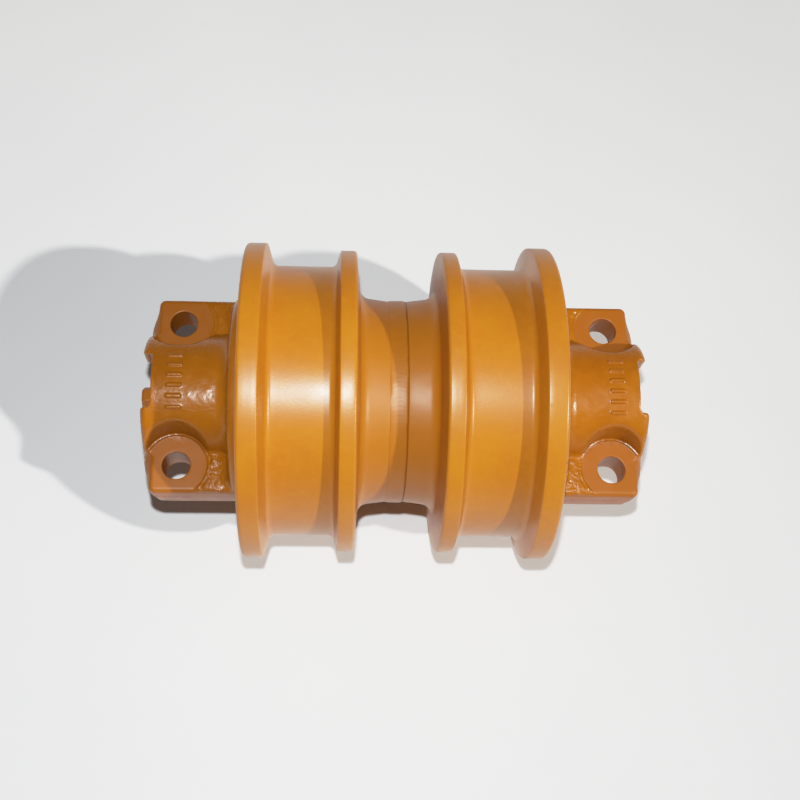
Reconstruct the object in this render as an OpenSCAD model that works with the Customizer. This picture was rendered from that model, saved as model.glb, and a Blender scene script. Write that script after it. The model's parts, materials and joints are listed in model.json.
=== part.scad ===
// Track roller of a crawler machine: a hollow flanged roller that turns on a fixed shaft, with a
// bolt-down collar on each end of the shaft. Millimetres.
// Frame: origin at the middle of the roller, +X along the shaft, +Z away from the machine's frame,
// so the four mounting bolts go in along -Z. "left" is the -X end and "right" the +X end.
// Turned parts are outlines of [radius, x, corner rounding] points, drawn for the right-hand end.

/* [Treads and flanges] */
// Diameter of the treads that run on the chain links
tread_d = 203; // [200:0.5:206]
// Diameter of the two outer flanges
outer_flange_d = 236.6; // [232:0.2:240]
// Diameter of the two inner flanges
inner_flange_d = 227.4; // [222:0.2:230]
// Middle of the roller to the near edge of an inner flange
inner_flange_x = 30.7; // [29:0.1:33]
// Width of the rim of an inner flange
inner_rim_w = 11.9; // [10:0.1:13]
// Gap between the rims of the two flanges of one wheel
rail_gap_w = 55; // [52:0.5:56]
// Middle of the roller to the outer face of an outer flange
shell_end_x = 112.7; // [112:0.1:113.4]
// Lean of the flange sides that face a tread, in degrees
flange_lean = 17; // [12:0.5:18]
// Fillet between a tread and a flange side
tread_fillet = 5; // [3:0.5:6]

/* [Neck and weld] */
// Diameter of the neck beside the weld
neck_d = 152; // [148:1:156]
// Slope of the neck up to the inner flanges, in degrees
neck_slope = 7.5; // [3:0.5:9]
// Fillet between the neck and an inner flange
neck_fillet = 8.5; // [5:0.5:10]
// Width of the weld bead at the surface
weld_w = 13; // [9:0.5:15]
// Depth of the weld groove
weld_depth = 8; // [5:0.5:10]
// Height of the weld crown above the neck
weld_crown = 0.9; // [0.5:0.1:1.5]

/* [Shaft and bushings] */
// Diameter of the shaft
shaft_d = 60; // [58:0.5:60]
// Half of the shaft's length
shaft_half_l = 176.5; // [170:0.5:176.5]
// Radial running gap between the shaft and a bushing
running_gap = 0.05; // [0.02:0.01:0.08]
// Wall thickness of a bushing
bushing_wall = 5.5; // [4:0.5:6]
// Radius of a bushing's thrust flange
bushing_flange_r = 44; // [42:0.5:46]
// Thickness of a bushing's thrust flange
bushing_flange_t = 5; // [4:0.5:6]
// Half of the length of the oil space between the bushings
oil_space_half_l = 22; // [15:1:25]

/* [Collars] */
// Diameter of a collar's hub
hub_d = 96; // [94:0.5:98]
// Diameter of the guard ring that closes the roller's end
guard_ring_d = 154; // [150:0.5:156]
// Thickness of the guard ring
guard_ring_t = 7.5; // [6.5:0.5:8]
// Bevel on the outer edge of the guard ring
guard_ring_bevel = 3.4; // [1:0.2:5]
// Fillet between the guard ring and a hub
guard_ring_fillet = 9.5; // [4:0.5:12]
// Middle of the roller to the recessed end face of a hub
hub_end_x = 178.2; // [177:0.1:179]
// Middle of the roller to the outer face of a hub's end rim
rim_end_x = 185.8; // [184:0.1:187]
// Middle of the roller to the outer end of a bolt wing
wing_end_x = 181; // [179:0.5:182.5]
// Half of the width of a collar across its bolt wings
wing_half_w = 76.5; // [74:0.5:77.5]
// Height of the mounting faces
mount_face_z = -14; // [-16:0.5:-12]
// Height of the as-cast wing tops
wing_top_z = 14; // [13.5:0.5:15]
// Height of the machined bolt seats
bolt_seat_z = 13; // [11:0.5:13]
// Diameter of the machined bolt seats
bolt_seat_d = 45; // [42:0.5:46]
// Width of the slot across a hub's end rim
rim_slot_w = 40; // [30:1:44]

/* [Mounting holes] */
// Hole spacing along the shaft
hole_spacing_x = 322; // [320:0.5:323]
// Hole spacing across the shaft
hole_spacing_y = 111.6; // [110:0.1:113]
// Diameter of the mounting holes
hole_d = 20.6; // [17:0.1:22]

/* [Seals] */
// Middle of the roller to the plane where the two seal rings meet
seal_plane_x = 104.5; // [104.2:0.1:104.8]
// Length of one metal seal ring
seal_ring_l = 8.9; // [8.5:0.1:9.3]
// Inner radius of a metal seal ring
seal_ring_in_r = 41; // [40.5:0.1:42]
// Outer radius of a metal seal ring
seal_ring_out_r = 50.5; // [49:0.1:51]
// Radius of the bores that hold the toric rubber rings
seal_bore_r = 54; // [53.5:0.1:54.5]
// Radius of the rubber section of a toric ring
toric_section_r = 3.5; // [3:0.1:3.55]

/* [Small parts] */
// Diameter of a lock pin
lock_pin_d = 12; // [8:0.5:14]
// Distance of a lock pin from the middle of the roller
lock_pin_x = 150; // [145:1:160]
// Width across the flats of the hexagon head of the oil plug
plug_head_w = 15.4; // [13:0.2:17]
// Middle of the roller to the end of the oil plug
plug_end_x = 190.5; // [188:0.5:192]

/* [Hidden] */

left = -1;
right = 1;
roller_paint = [0.85, 0.53, 0.14];
collar_paint = [0.70, 0.40, 0.10];
steel_grey = [0.62, 0.63, 0.64];
bronze = [0.72, 0.55, 0.30];
iron_grey = [0.38, 0.38, 0.40];
rubber_black = [0.10, 0.10, 0.10];

$fn = 96;
arc_steps = 8;
edge_break = 1;
cut_past = 1;

// Shell
tread_r = tread_d / 2;
outer_flange_r = outer_flange_d / 2;
inner_flange_r = inner_flange_d / 2;
neck_r = neck_d / 2;
inner_rim_end_x = inner_flange_x + inner_rim_w;
outer_rim_x = inner_rim_end_x + rail_gap_w;
inner_side_lean = 5;
inner_edge_r = 2.5;
outer_edge_r = 3;
oil_space_r = 45;
lip_bore_r = 64;
crown_shoulder_w = 2;

// Where the slope of the neck would meet the leaning side of an inner flange
flange_rise = inner_flange_r - neck_r + weld_w / 2 * tan(neck_slope);
neck_corner_x = (inner_flange_x - flange_rise * tan(inner_side_lean))
    / (1 - tan(neck_slope) * tan(inner_side_lean));
neck_corner_r = neck_r + (neck_corner_x - weld_w / 2) * tan(neck_slope);

// Axial places of the seal and thrust parts
seal_pocket_l = 10.5;
thrust_face_x = seal_plane_x - seal_pocket_l;
pocket_floor_x = seal_plane_x + seal_pocket_l;
guard_ring_x = 114.5;
guard_ring_end_x = guard_ring_x + guard_ring_t;
face_gap = 0.1;
thrust_gap = 0.3;

// Shaft and bushings
shaft_r = shaft_d / 2;
bushing_in_r = shaft_r + running_gap;
bushing_out_r = bushing_in_r + bushing_wall;
bushing_flange_x = thrust_face_x - bushing_flange_t;
oil_hole_r = 5;
feed_hole_r = 3;
feed_x = (oil_space_half_l + bushing_flange_x) / 2;
feed_groove_w = 8;
centre_hole_r = 5;
centre_hole_l = 8;
plug_thread_r = 8;
plug_thread_l = 16;
thread_runout_l = 2;
plug_flange_r = 10.5;
plug_flange_t = 2;
plug_corner_r = plug_head_w / 2 / cos(30);
plug_chamfer = 2;
washer_t = 1.5;

// Collar
fit_gap = 0.02;
hub_r = hub_d / 2;
guard_ring_r = guard_ring_d / 2;
nose_r = 39;
lip_r = 61;
lip_x = seal_plane_x + 1;
hub_fillet = 3;
rim_edge_r = 2;
rim_bore_r = shaft_r + fit_gap;
wing_root_x = guard_ring_x + 1;
flare_start_y = wing_half_w - 6.5;
hole_x = hole_spacing_x / 2;
hole_y = hole_spacing_y / 2;
seat_wall_flare = 3.5;
o_ring_x = 128;
o_ring_section_r = 1.6;
o_ring_groove_r = shaft_r + 2 * o_ring_section_r + fit_gap;
o_ring_groove_w = 4;
lock_pin_r = lock_pin_d / 2;
lock_pin_tip_z = -11;
lock_pin_end_gap = 1;
lock_pin_foot_z = -45;

function unit(v) = v / norm(v);
function turn(from, to) = let (d = to - from) d > 180 ? d - 360 : d < -180 ? d + 360 : d;

// Points of a rounding of radius rad on the corner b between its neighbours a and c
function corner(a, b, c, rad) =
    let (
        u = unit(a - b),
        w = unit(c - b),
        half = acos(u * w) / 2,
        centre = b + unit(u + w) * rad / sin(half),
        start = b + u * rad / tan(half) - centre,
        end = b + w * rad / tan(half) - centre,
        start_angle = atan2(start.y, start.x),
        sweep = turn(start_angle, atan2(end.y, end.x))
    )
    [for (i = [0 : arc_steps])
        centre + rad * [cos(start_angle + sweep * i / arc_steps),
                        sin(start_angle + sweep * i / arc_steps)]];

// An outline of [x, y, rounding] points with its corners rounded
function flat(p) = [p.x, p.y];
function outline(pts) =
    let (n = len(pts))
    [for (i = [0 : n - 1])
        each pts[i].z == 0
            ? [flat(pts[i])]
            : corner(flat(pts[(i + n - 1) % n]), flat(pts[i]), flat(pts[(i + 1) % n]), pts[i].z)];

// A solid of revolution about X, from a closed outline of [radius, x, rounding] points
module turned(pts) {
    rotate([0, 90, 0]) rotate_extrude() polygon(outline(pts));
}

// Puts a part drawn for the right-hand end on either end
module on(end) {
    if (end == left) mirror([1, 0, 0]) children();
    else children();
}

// A cylinder along X from x0 to x1
module rod_x(r, x0, x1) {
    translate([x0, 0, 0]) rotate([0, 90, 0]) cylinder(h = x1 - x0, r = r);
}

// A cylinder along Z at x and y from z0 to z1
module rod_z(r, x, y, z0, z1) {
    translate([x, y, z0]) cylinder(h = z1 - z0, r = r);
}

// One forged half of the roller: half a neck, an inner flange, a tread and an outer flange
module shell_half(end) {
    color(roller_paint) on(end) turned([
        [oil_space_r, 0, 0],
        [neck_r - weld_depth, 0, 0],
        [neck_r, weld_w / 2, 0],
        [neck_corner_r, neck_corner_x, neck_fillet],
        [inner_flange_r, inner_flange_x, inner_edge_r],
        [inner_flange_r, inner_rim_end_x, edge_break],
        [tread_r, inner_rim_end_x + (inner_flange_r - tread_r) * tan(flange_lean), tread_fillet],
        [tread_r, outer_rim_x - (outer_flange_r - tread_r) * tan(flange_lean), tread_fillet],
        [outer_flange_r, outer_rim_x, edge_break],
        [outer_flange_r, shell_end_x, outer_edge_r],
        [lip_bore_r, shell_end_x, edge_break],
        [lip_bore_r, seal_plane_x, 0],
        [seal_bore_r, seal_plane_x, 0],
        [seal_bore_r, thrust_face_x, 0],
        [bushing_flange_r, thrust_face_x, 0],
        [bushing_flange_r, bushing_flange_x, 0],
        [bushing_out_r, bushing_flange_x, 0],
        [bushing_out_r, oil_space_half_l, 0],
        [oil_space_r, oil_space_half_l, 0]]);
}

// The weld that fills the groove between the two halves, with a low crown
module centre_weld() {
    crown_x = weld_w / 2 - crown_shoulder_w;
    color(roller_paint) turned([
        [neck_r - weld_depth, 0, 0],
        [neck_r, weld_w / 2, 0],
        [neck_r + weld_crown, crown_x, 0],
        [neck_r + weld_crown, -crown_x, 0],
        [neck_r, -weld_w / 2, 0]]);
}

// A bronze-lined bushing, pressed into the shell, with a thrust flange that faces the collar
module bushing(end) {
    color(bronze) on(end) difference() {
        turned([
            [bushing_in_r, oil_space_half_l, edge_break],
            [bushing_out_r, oil_space_half_l, edge_break],
            [bushing_out_r, bushing_flange_x, 0],
            [bushing_flange_r, bushing_flange_x, 0],
            [bushing_flange_r, thrust_face_x, 0],
            [bushing_in_r, thrust_face_x, edge_break]]);
        // Groove that spreads the oil around the shaft
        rod_x(bushing_in_r + edge_break, feed_x - feed_groove_w / 2, feed_x + feed_groove_w / 2);
    }
}

// The fixed shaft, with an oil passage that opens at the left end, a lathe centre in the right end
// and a hole for each lock pin
module shaft() {
    color(steel_grey) difference() {
        turned([
            [0, -shaft_half_l, 0],
            [shaft_r, -shaft_half_l, edge_break],
            [shaft_r, shaft_half_l, edge_break],
            [0, shaft_half_l, 0]]);
        rod_x(plug_thread_r, -shaft_half_l - cut_past, -shaft_half_l + plug_thread_l + thread_runout_l);
        rod_x(oil_hole_r, -shaft_half_l, feed_x);
        translate([shaft_half_l - centre_hole_l, 0, 0]) rotate([0, 90, 0])
            cylinder(h = centre_hole_l, r1 = 0, r2 = centre_hole_r);
        for (end = [left, right]) {
            rod_z(feed_hole_r, end * feed_x, 0, 0, shaft_r + cut_past);
            rod_z(lock_pin_r + fit_gap, end * lock_pin_x, 0, -shaft_r - cut_past,
                  lock_pin_tip_z + lock_pin_end_gap);
        }
    }
}

// Cross-section of the two bolt wings, with cast fillets up to the hub
module wings_section() {
    fillet_y = sqrt(pow(hub_r + hub_fillet, 2) - pow(wing_top_z + hub_fillet, 2));
    fillet_z = wing_top_z + hub_fillet;
    touch = hub_r / (hub_r + hub_fillet);
    translate([-wing_half_w, mount_face_z])
        square([2 * wing_half_w, wing_top_z - mount_face_z]);
    for (side = [0, 1]) mirror([side, 0]) difference() {
        polygon([[0, 0], [fillet_y, 0], [fillet_y, fillet_z], [fillet_y * touch, fillet_z * touch]]);
        translate([fillet_y, fillet_z]) circle(hub_fillet);
    }
}

// Plan outline of a collar's wings, flared at the outer end to meet the hub's rim
module wing_plan() {
    wing_corner_r = 5;
    flare_r = 14;
    polygon(outline([
        [wing_root_x, -wing_half_w, 0],
        [wing_end_x, -wing_half_w, wing_corner_r],
        [wing_end_x, -flare_start_y, flare_r],
        [rim_end_x, -hub_r, rim_edge_r],
        [rim_end_x, hub_r, rim_edge_r],
        [wing_end_x, flare_start_y, flare_r],
        [wing_end_x, wing_half_w, wing_corner_r],
        [wing_root_x, wing_half_w, 0]]));
}

// Machined seat of one mounting bolt: a round pocket into the hub's side, open at the wing's corner
module bolt_seat() {
    seat_r = bolt_seat_d / 2;
    translate([hole_x, hole_y, bolt_seat_z]) {
        cylinder(h = hub_r - bolt_seat_z, r1 = seat_r, r2 = seat_r + seat_wall_flare);
        cube([2 * seat_r, 2 * seat_r, hub_r]);
    }
}

// One cast collar: a nose that takes the thrust, a seal pocket, the guard ring, a hub on the
// shaft with a slotted end rim, and two wings for the mounting bolts
module collar(end) {
    color(collar_paint) on(end) difference() {
        union() {
            turned([
                [rim_bore_r, thrust_face_x + thrust_gap, edge_break],
                [nose_r, thrust_face_x + thrust_gap, edge_break],
                [nose_r, pocket_floor_x, 0],
                [seal_bore_r, pocket_floor_x, 0],
                [seal_bore_r, lip_x, edge_break],
                [lip_r, lip_x, edge_break],
                [lip_r, guard_ring_x, 0],
                [guard_ring_r, guard_ring_x, edge_break],
                [guard_ring_r, guard_ring_end_x - guard_ring_bevel, 0],
                [guard_ring_r - guard_ring_bevel, guard_ring_end_x, 0],
                [hub_r, guard_ring_end_x, guard_ring_fillet],
                [hub_r, rim_end_x, rim_edge_r],
                [rim_bore_r, rim_end_x, edge_break]]);
            intersection() {
                translate([wing_root_x, 0, 0]) rotate([90, 0, 90])
                    linear_extrude(rim_end_x - wing_root_x + cut_past) wings_section();
                translate([0, 0, -hub_r]) linear_extrude(2 * hub_r) wing_plan();
            }
        }
        rod_x(rim_bore_r, pocket_floor_x, rim_end_x + cut_past);
        rod_x(o_ring_groove_r, o_ring_x - o_ring_groove_w / 2, o_ring_x + o_ring_groove_w / 2);
        translate([hub_end_x, -rim_slot_w / 2, -hub_r - cut_past])
            cube([rim_end_x, rim_slot_w, 2 * (hub_r + cut_past)]);
        rod_z(lock_pin_r + fit_gap, lock_pin_x, 0, -hub_r - cut_past, 0);
        for (side = [0, 1]) mirror([0, side, 0]) {
            bolt_seat();
            rod_z(hole_d / 2, hole_x, hole_y, mount_face_z - cut_past, bolt_seat_z + cut_past);
        }
    }
}

// One metal seal ring: a lapped face at the seal plane and a seat for its rubber ring behind it.
// Drawn for the ring that turns; the fixed ring is its mirror image across the seal plane.
module seal_ring() {
    squeeze_gap = 1.2;
    seat_r = seal_bore_r - 2 * toric_section_r - squeeze_gap;
    seat_taper = 1;
    flange_t = 3;
    corner_r = 0.5;
    lapped_edge_r = 0.3;
    face_x = seal_plane_x - face_gap;
    back_x = face_x - seal_ring_l;
    turned([
        [seal_ring_in_r, back_x, corner_r],
        [seat_r, back_x, corner_r],
        [seat_r + seat_taper, face_x - flange_t, corner_r],
        [seal_ring_out_r, face_x - flange_t, corner_r],
        [seal_ring_out_r, face_x, lapped_edge_r],
        [seal_ring_in_r, face_x, corner_r]]);
}

// The rubber ring that presses a seal ring against its partner and centres it in its bore
module toric_ring() {
    translate([thrust_face_x + toric_section_r + face_gap, 0, 0]) rotate([0, 90, 0])
        rotate_extrude() translate([seal_bore_r - toric_section_r - face_gap, 0])
            circle(toric_section_r, $fn = 32);
}

// Places a part of the turning seal half, or its mirror image across the seal plane
module seal_half(end, fixed) {
    on(end) {
        if (fixed) translate([2 * seal_plane_x, 0, 0]) mirror([1, 0, 0]) children();
        else children();
    }
}

module metal_seal(end, fixed) {
    color(iron_grey) seal_half(end, fixed) seal_ring();
}

module rubber_seal(end, fixed) {
    color(rubber_black) seal_half(end, fixed) toric_ring();
}

// Ring that keeps the oil from creeping out between the shaft and a collar
module shaft_o_ring(end) {
    color(rubber_black) on(end) translate([o_ring_x, 0, 0]) rotate([0, 90, 0])
        rotate_extrude() translate([shaft_r + o_ring_section_r + fit_gap / 2, 0])
            circle(o_ring_section_r, $fn = 24);
}

// Pin driven up through a collar into the shaft, which keeps both from turning
module lock_pin(end) {
    color(steel_grey) on(end)
        rod_z(lock_pin_r, lock_pin_x, 0, lock_pin_foot_z, lock_pin_tip_z);
}

// Hexagon-headed plug of the oil passage, with a flat facing +Z and a chamfered end
module oil_plug() {
    head_x = shaft_half_l + washer_t + plug_flange_t;
    color(collar_paint) on(left) {
        rod_x(plug_thread_r - fit_gap, shaft_half_l - plug_thread_l, shaft_half_l + washer_t);
        rod_x(plug_flange_r, shaft_half_l + washer_t, head_x);
        intersection() {
            translate([head_x, 0, 0]) rotate([0, 90, 0]) rotate([0, 0, 30])
                cylinder(h = plug_end_x - head_x, r = plug_corner_r, $fn = 6);
            turned([
                [0, head_x, 0],
                [plug_corner_r, head_x, 0],
                [plug_corner_r, plug_end_x - plug_chamfer, 0],
                [plug_corner_r - plug_chamfer, plug_end_x, 0],
                [0, plug_end_x, 0]]);
        }
    }
}

// Soft washer under the oil plug
module oil_plug_washer() {
    color(bronze) on(left) turned([
        [plug_thread_r, shaft_half_l, 0],
        [plug_flange_r, shaft_half_l, 0],
        [plug_flange_r, shaft_half_l + washer_t, 0],
        [plug_thread_r, shaft_half_l + washer_t, 0]]);
}

shell_half(left);  // left_shell_half
shell_half(right);  // right_shell_half
centre_weld();
bushing(left);  // left_bushing
bushing(right);  // right_bushing
shaft();
collar(left);  // left_collar
collar(right);  // right_collar
metal_seal(left, false);  // left_rotating_seal_ring
metal_seal(right, false);  // right_rotating_seal_ring
metal_seal(left, true);  // left_fixed_seal_ring
metal_seal(right, true);  // right_fixed_seal_ring
rubber_seal(left, false);  // left_rotating_toric_ring
rubber_seal(right, false);  // right_rotating_toric_ring
rubber_seal(left, true);  // left_fixed_toric_ring
rubber_seal(right, true);  // right_fixed_toric_ring
shaft_o_ring(left);  // left_shaft_o_ring
shaft_o_ring(right);  // right_shaft_o_ring
lock_pin(left);  // left_lock_pin
lock_pin(right);  // right_lock_pin
oil_plug();
oil_plug_washer();
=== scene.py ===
"""Looks of the track roller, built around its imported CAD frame.

Shape code works in millimetres, in the frame's own axes: X along the shaft, Z away from the machine.
Parts that come in pairs are drawn for the right-hand (+X) end and mirrored for the left-hand one.
Turned parts are lathed from rounded outlines. Cast parts are signed distance fields (negative inside),
meshed by surface nets, so that cast fillets, machined seats and rough skin are all real geometry.
"""
import json
import math

import bpy
import numpy as np
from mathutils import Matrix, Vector


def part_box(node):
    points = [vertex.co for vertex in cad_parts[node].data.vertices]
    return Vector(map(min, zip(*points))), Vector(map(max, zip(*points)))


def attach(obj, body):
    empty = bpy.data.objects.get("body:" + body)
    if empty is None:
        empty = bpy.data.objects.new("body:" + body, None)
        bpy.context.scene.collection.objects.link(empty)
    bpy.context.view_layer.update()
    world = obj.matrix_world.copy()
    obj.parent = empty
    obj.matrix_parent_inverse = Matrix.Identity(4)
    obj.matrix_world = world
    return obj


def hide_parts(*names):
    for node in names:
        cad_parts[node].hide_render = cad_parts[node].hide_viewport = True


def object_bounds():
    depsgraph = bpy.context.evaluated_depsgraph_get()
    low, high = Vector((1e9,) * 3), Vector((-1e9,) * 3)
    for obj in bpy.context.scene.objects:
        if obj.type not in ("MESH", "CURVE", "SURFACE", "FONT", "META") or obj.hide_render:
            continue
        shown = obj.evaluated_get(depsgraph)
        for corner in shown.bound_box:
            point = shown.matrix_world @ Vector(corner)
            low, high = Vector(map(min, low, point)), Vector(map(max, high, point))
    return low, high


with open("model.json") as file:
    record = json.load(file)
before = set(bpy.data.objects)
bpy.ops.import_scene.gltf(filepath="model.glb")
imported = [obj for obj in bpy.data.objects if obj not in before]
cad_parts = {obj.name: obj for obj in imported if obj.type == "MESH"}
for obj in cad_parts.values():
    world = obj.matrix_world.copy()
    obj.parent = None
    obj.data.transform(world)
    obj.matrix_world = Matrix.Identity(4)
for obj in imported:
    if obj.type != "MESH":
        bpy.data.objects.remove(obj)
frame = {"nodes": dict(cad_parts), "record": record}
cad_low, cad_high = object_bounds()

MM = 0.001
LEFT, RIGHT = -1, 1
SIDES = {"left": LEFT, "right": RIGHT}

# ---------------------------------------------------------------- sizes that the frame gives


def box_mm(node):
    """Lowest and highest corner of a CAD node, in millimetres."""
    low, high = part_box(node)
    return np.array(low) / MM, np.array(high) / MM


def mount(name):
    """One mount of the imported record."""
    return next(m for m in frame["record"]["mounts"] if m["name"] == name)


shell_high = box_mm("right_shell_half")[1]
shaft_high = box_mm("shaft")[1]
collar_low, collar_high = box_mm("right_collar")
weld_low, weld_high = box_mm("centre_weld")
plug_low, plug_high = box_mm("oil_plug")
pin_low, pin_high = box_mm("right_lock_pin")
o_ring_low, o_ring_high = box_mm("right_shaft_o_ring")
bolts = mount("mounting_bolts")["dims"]

OUTER_FLANGE_R = shell_high[2]
SHELL_END_X = shell_high[0]
TREAD_R = mount("right_tread")["pos_m"][2] / MM
NOSE_X = collar_low[0]
RIM_END_X = collar_high[0]
GUARD_RING_R = collar_high[2]
WELD_W = weld_high[0] - weld_low[0]
SHAFT_R = shaft_high[2]
SHAFT_END_X = shaft_high[0]
MOUNT_FACE_Z = mount("right_front_mounting_face")["pos_m"][2] / MM
HOLE_X = bolts["spacing_x_mm"] / 2
HOLE_Y = bolts["spacing_y_mm"] / 2
HOLE_R = bolts["hole_r_mm"]

# ---------------------------------------------------------------- sizes of the shapes, in millimetres

INNER_FLANGE_R = 113.7
INNER_FLANGE_X = 30.7
INNER_RIM_W = 11.9
RAIL_GAP_W = 55.0
FLANGE_LEAN = math.radians(17)
INNER_SIDE_LEAN = math.radians(5)
TREAD_FILLET = 5.0
NECK_FILLET = 8.5
NECK_R = 76.0
NECK_SLOPE = math.radians(7.5)
WELD_DEPTH = 8.0
LIP_BORE_R = 64.0
SEAL_PLANE_X = 104.5
SEAL_POCKET_L = 10.5
SEAL_BORE_R = 54.0
BUSHING_FLANGE_R = 44.0
BUSHING_FLANGE_T = 5.0
BUSHING_R = 35.55
OIL_SPACE_R = 45.0
OIL_SPACE_X = 22.0

HUB_R = 48.0
HUB_END_X = 178.2
HUB_FILLET = 3.0
NOSE_R = 39.0
SEAL_LIP_R = 61.0
GUARD_RING_X = 114.5
GUARD_RING_T = 7.5
BORE_R = SHAFT_R + 0.02
SLOT_W = 40.0
WING_END_X = 181.0
WING_HALF_W = 76.6
WING_TOP_Z = 14.0
SEAT_Z = 13.0
SEAT_R = 22.5
SEAT_LEDGE = 1.5
CAST_EDGE_R = 5.0
CORNER_R = 4.5
FOOT_CORNER_R = 9.0
RING_FILLET = 9.5
RING_BEVEL = 3.4
FLARE_Y = 74.0


# ---------------------------------------------------------------- noise


def hashed(ix, iy, iz, seed):
    """A repeatable random number from 0 to 1 for each lattice point."""
    n = ix * 73856093 ^ iy * 19349663 ^ iz * 83492791 ^ seed * 2654435761
    n = (n ^ (n >> 13)) * 1274126177
    n = n ^ (n >> 16)
    return (n & 0xFFFF) / 65535.0


def lumps(p, size, seed=0):
    """Smooth random lumps from -1 to 1, about size across, at the points p."""
    q = p / size
    cell = np.floor(q).astype(np.int64)
    f = q - cell
    f = f * f * (3 - 2 * f)
    total = np.zeros(len(p))
    for dx in (0, 1):
        for dy in (0, 1):
            for dz in (0, 1):
                weight = (
                    np.where(dx, f[:, 0], 1 - f[:, 0])
                    * np.where(dy, f[:, 1], 1 - f[:, 1])
                    * np.where(dz, f[:, 2], 1 - f[:, 2])
                )
                total += weight * hashed(cell[:, 0] + dx, cell[:, 1] + dy, cell[:, 2] + dz, seed)
    return total * 2 - 1


def layered(p, layers, seed):
    """Lumps of several sizes on top of each other, from (height, size) pairs."""
    return sum(height * lumps(p, size, seed + i) for i, (height, size) in enumerate(layers))


def ramp(value, start, end):
    """0 at start, 1 at end, smooth in between."""
    t = np.clip((value - start) / (end - start), 0, 1)
    return t * t * (3 - 2 * t)


# ---------------------------------------------------------------- meshes

ARC_STEPS_PER_MM = 2.5
FEWEST_ARC_STEPS = 3
MOST_ARC_STEPS = 10


def mesh_object(name, verts, faces, material, attributes=None):
    """A smooth-shaded object from points in millimetres."""
    mesh = bpy.data.meshes.new(name)
    mesh.from_pydata((np.asarray(verts) * MM).tolist(), [], np.asarray(faces).tolist())
    mesh.validate()
    mesh.shade_smooth()
    for key, values in (attributes or {}).items():
        layer = mesh.attributes.new(key, "FLOAT", "POINT")
        layer.data.foreach_set("value", np.asarray(values, np.float32))
    mesh.materials.append(material)
    piece = bpy.data.objects.new(name, mesh)
    bpy.context.scene.collection.objects.link(piece)
    return piece


def arc(before, at, after, radius, steps):
    """Points of a rounding on the corner between two straight lines."""
    before, at, after = (np.array(p[:2], float) for p in (before, at, after))
    u = (before - at) / np.linalg.norm(before - at)
    w = (after - at) / np.linalg.norm(after - at)
    half = math.acos(np.clip(u @ w, -1, 1)) / 2
    middle = (u + w) / np.linalg.norm(u + w)
    centre = at + middle * radius / math.sin(half)
    start = at + u * radius / math.tan(half) - centre
    end = at + w * radius / math.tan(half) - centre
    first = math.atan2(start[1], start[0])
    sweep = (math.atan2(end[1], end[0]) - first + math.pi) % (2 * math.pi) - math.pi
    angles = first + sweep * np.linspace(0, 1, steps + 1)
    return [centre + radius * np.array([math.cos(a), math.sin(a)]) for a in angles]


def outline(corners, longest):
    """Closed outline of (x, radius, rounding) corners, rounded, with no step longer than longest."""
    points = []
    for i, corner in enumerate(corners):
        if corner[2] == 0:
            points.append(np.array(corner[:2], float))
            continue
        steps = max(FEWEST_ARC_STEPS, min(MOST_ARC_STEPS, round(corner[2] * ARC_STEPS_PER_MM)))
        points += arc(corners[i - 1], corner, corners[(i + 1) % len(corners)], corner[2], steps)
    dense = []
    for a, b in zip(points, points[1:] + points[:1]):
        parts = max(1, math.ceil(np.linalg.norm(b - a) / longest))
        dense += [a + (b - a) * k / parts for k in range(parts)]
    return np.array(dense)


def lathe(points, segments):
    """Points and quads of a closed outline of (x, radius) turned about X."""
    angle = np.linspace(0, 2 * math.pi, segments, endpoint=False)
    x = np.repeat(points[:, 0], segments)
    r = np.repeat(points[:, 1], segments)
    a = np.tile(angle, len(points))
    verts = np.stack([x, r * np.sin(a), r * np.cos(a)], 1)
    ring = np.arange(segments)
    following = (ring + 1) % segments
    faces = []
    for i in range(len(points)):
        here, there = i * segments, (i + 1) % len(points) * segments
        faces.append(np.stack([here + ring, here + following, there + following, there + ring], 1))
    return verts, np.concatenate(faces)


def mirrored(verts, faces, side):
    """The part for the other end: X changes sign, and the faces turn round."""
    if side == RIGHT:
        return verts, faces
    return verts * np.array([-1, 1, 1]), faces[:, ::-1]


# ---------------------------------------------------------------- signed distance fields

RELAX_ROUNDS = 2


def union(a, b, r):
    """Both solids, with a fillet of radius r between them."""
    return np.maximum(r, np.minimum(a, b)) - np.hypot(np.maximum(r - a, 0), np.maximum(r - b, 0))


def common(a, b, r):
    """What both solids hold, with its edge rounded to radius r."""
    return np.minimum(-r, np.maximum(a, b)) + np.hypot(np.maximum(r + a, 0), np.maximum(r + b, 0))


def less(a, b, r):
    """The solid a without b, with its edge rounded to radius r."""
    return common(a, -b, r)


def between(value, low, high):
    """Distance field of a slab."""
    return np.abs(value - (low + high) / 2) - (high - low) / 2


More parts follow.
